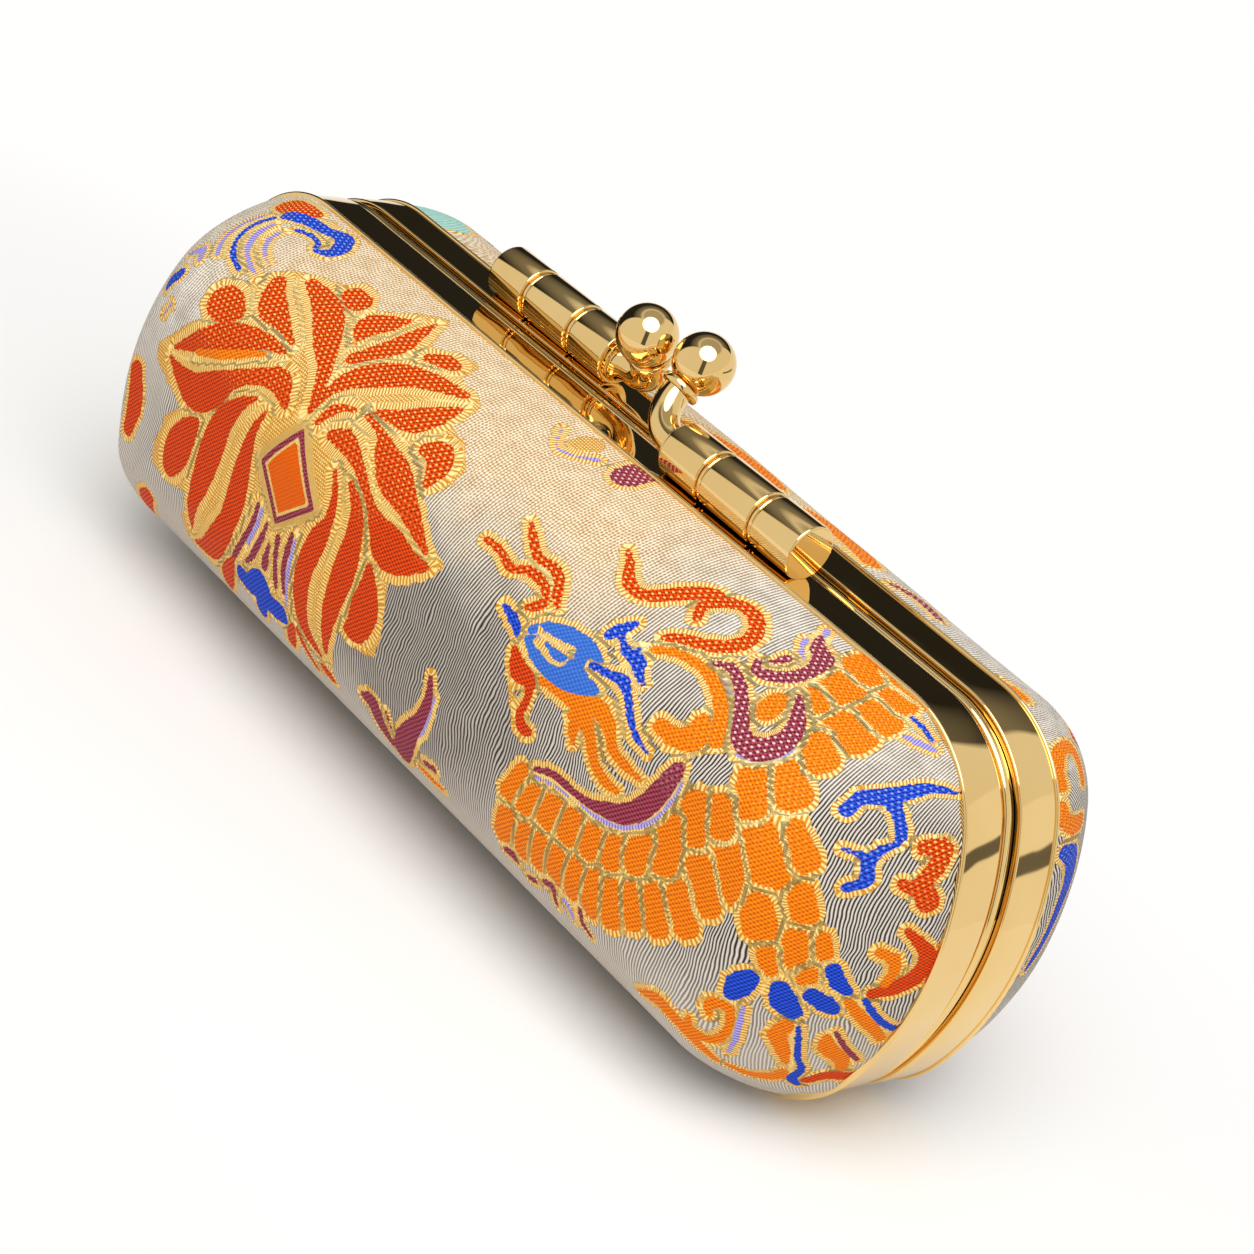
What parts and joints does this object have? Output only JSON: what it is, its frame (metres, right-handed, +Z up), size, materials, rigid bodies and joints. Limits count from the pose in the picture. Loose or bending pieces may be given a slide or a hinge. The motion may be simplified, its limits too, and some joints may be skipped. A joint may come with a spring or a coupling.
{
  "type": "hinged jewellery case",
  "caption": "Hinged oblong jewellery case: two padded brocade half shells in polished gold bands, with a two-ball kiss clasp on top and hinges along the bottom.",
  "frame": {"origin": "centre of the foot of the case, on the surface it stands on, in the seam plane", "axes": "+X along the length with the front clasp barrels, +Y to the back half, +Z up to the clasp"},
  "size_m": [0.1506, 0.0582, 0.0663],
  "materials": {
    "gold_metal": "mirror-polished light gold plating",
    "hinge_metal": "plain gold plating",
    "brocade": "silver-grey satin ground with orange, gold, blue and violet figured weave",
    "wadding": "soft matte fibre",
    "moulded_shell": "matte moulded",
    "satin_lining": "smooth champagne satin"
  },
  "bodies": {
    "front_half": {"front_band": "gold_metal", "seam_ring": "gold_metal", "front_shell": "moulded_shell", "front_wadding": "wadding", "front_cover": "brocade", "front_lining": "satin_lining", "hinge_front_leaf_left": "hinge_metal", "hinge_front_leaf_right": "hinge_metal", "hinge_pin_left": "hinge_metal", "hinge_pin_right": "hinge_metal", "front_clasp_rod": "hinge_metal", "front_clasp_barrel_inner": "gold_metal", "front_clasp_barrel_middle": "gold_metal", "front_clasp_barrel_outer": "gold_metal", "front_clasp_ring_inner": "gold_metal", "front_clasp_ring_outer": "gold_metal", "front_clasp_arm": "gold_metal", "front_clasp_collar": "gold_metal", "front_clasp_ball": "gold_metal"},
    "back_half": {"back_band": "gold_metal", "back_shell": "moulded_shell", "back_wadding": "wadding", "back_cover": "brocade", "back_lining": "satin_lining", "hinge_back_leaf_left": "hinge_metal", "hinge_back_leaf_right": "hinge_metal", "back_clasp_rod": "hinge_metal", "back_clasp_barrel_inner": "gold_metal", "back_clasp_barrel_middle": "gold_metal", "back_clasp_barrel_outer": "gold_metal", "back_clasp_ring_inner": "gold_metal", "back_clasp_ring_outer": "gold_metal", "back_clasp_arm": "gold_metal", "back_clasp_collar": "gold_metal", "back_clasp_ball": "gold_metal"}
  },
  "joints": [
    {"name": "hinge", "type": "hinge", "parent": "front_half", "child": "back_half", "pos_m": [0, 0, 0.0016], "axis": [-1, 0, 0], "range_deg": [0, 90]}
  ]
}
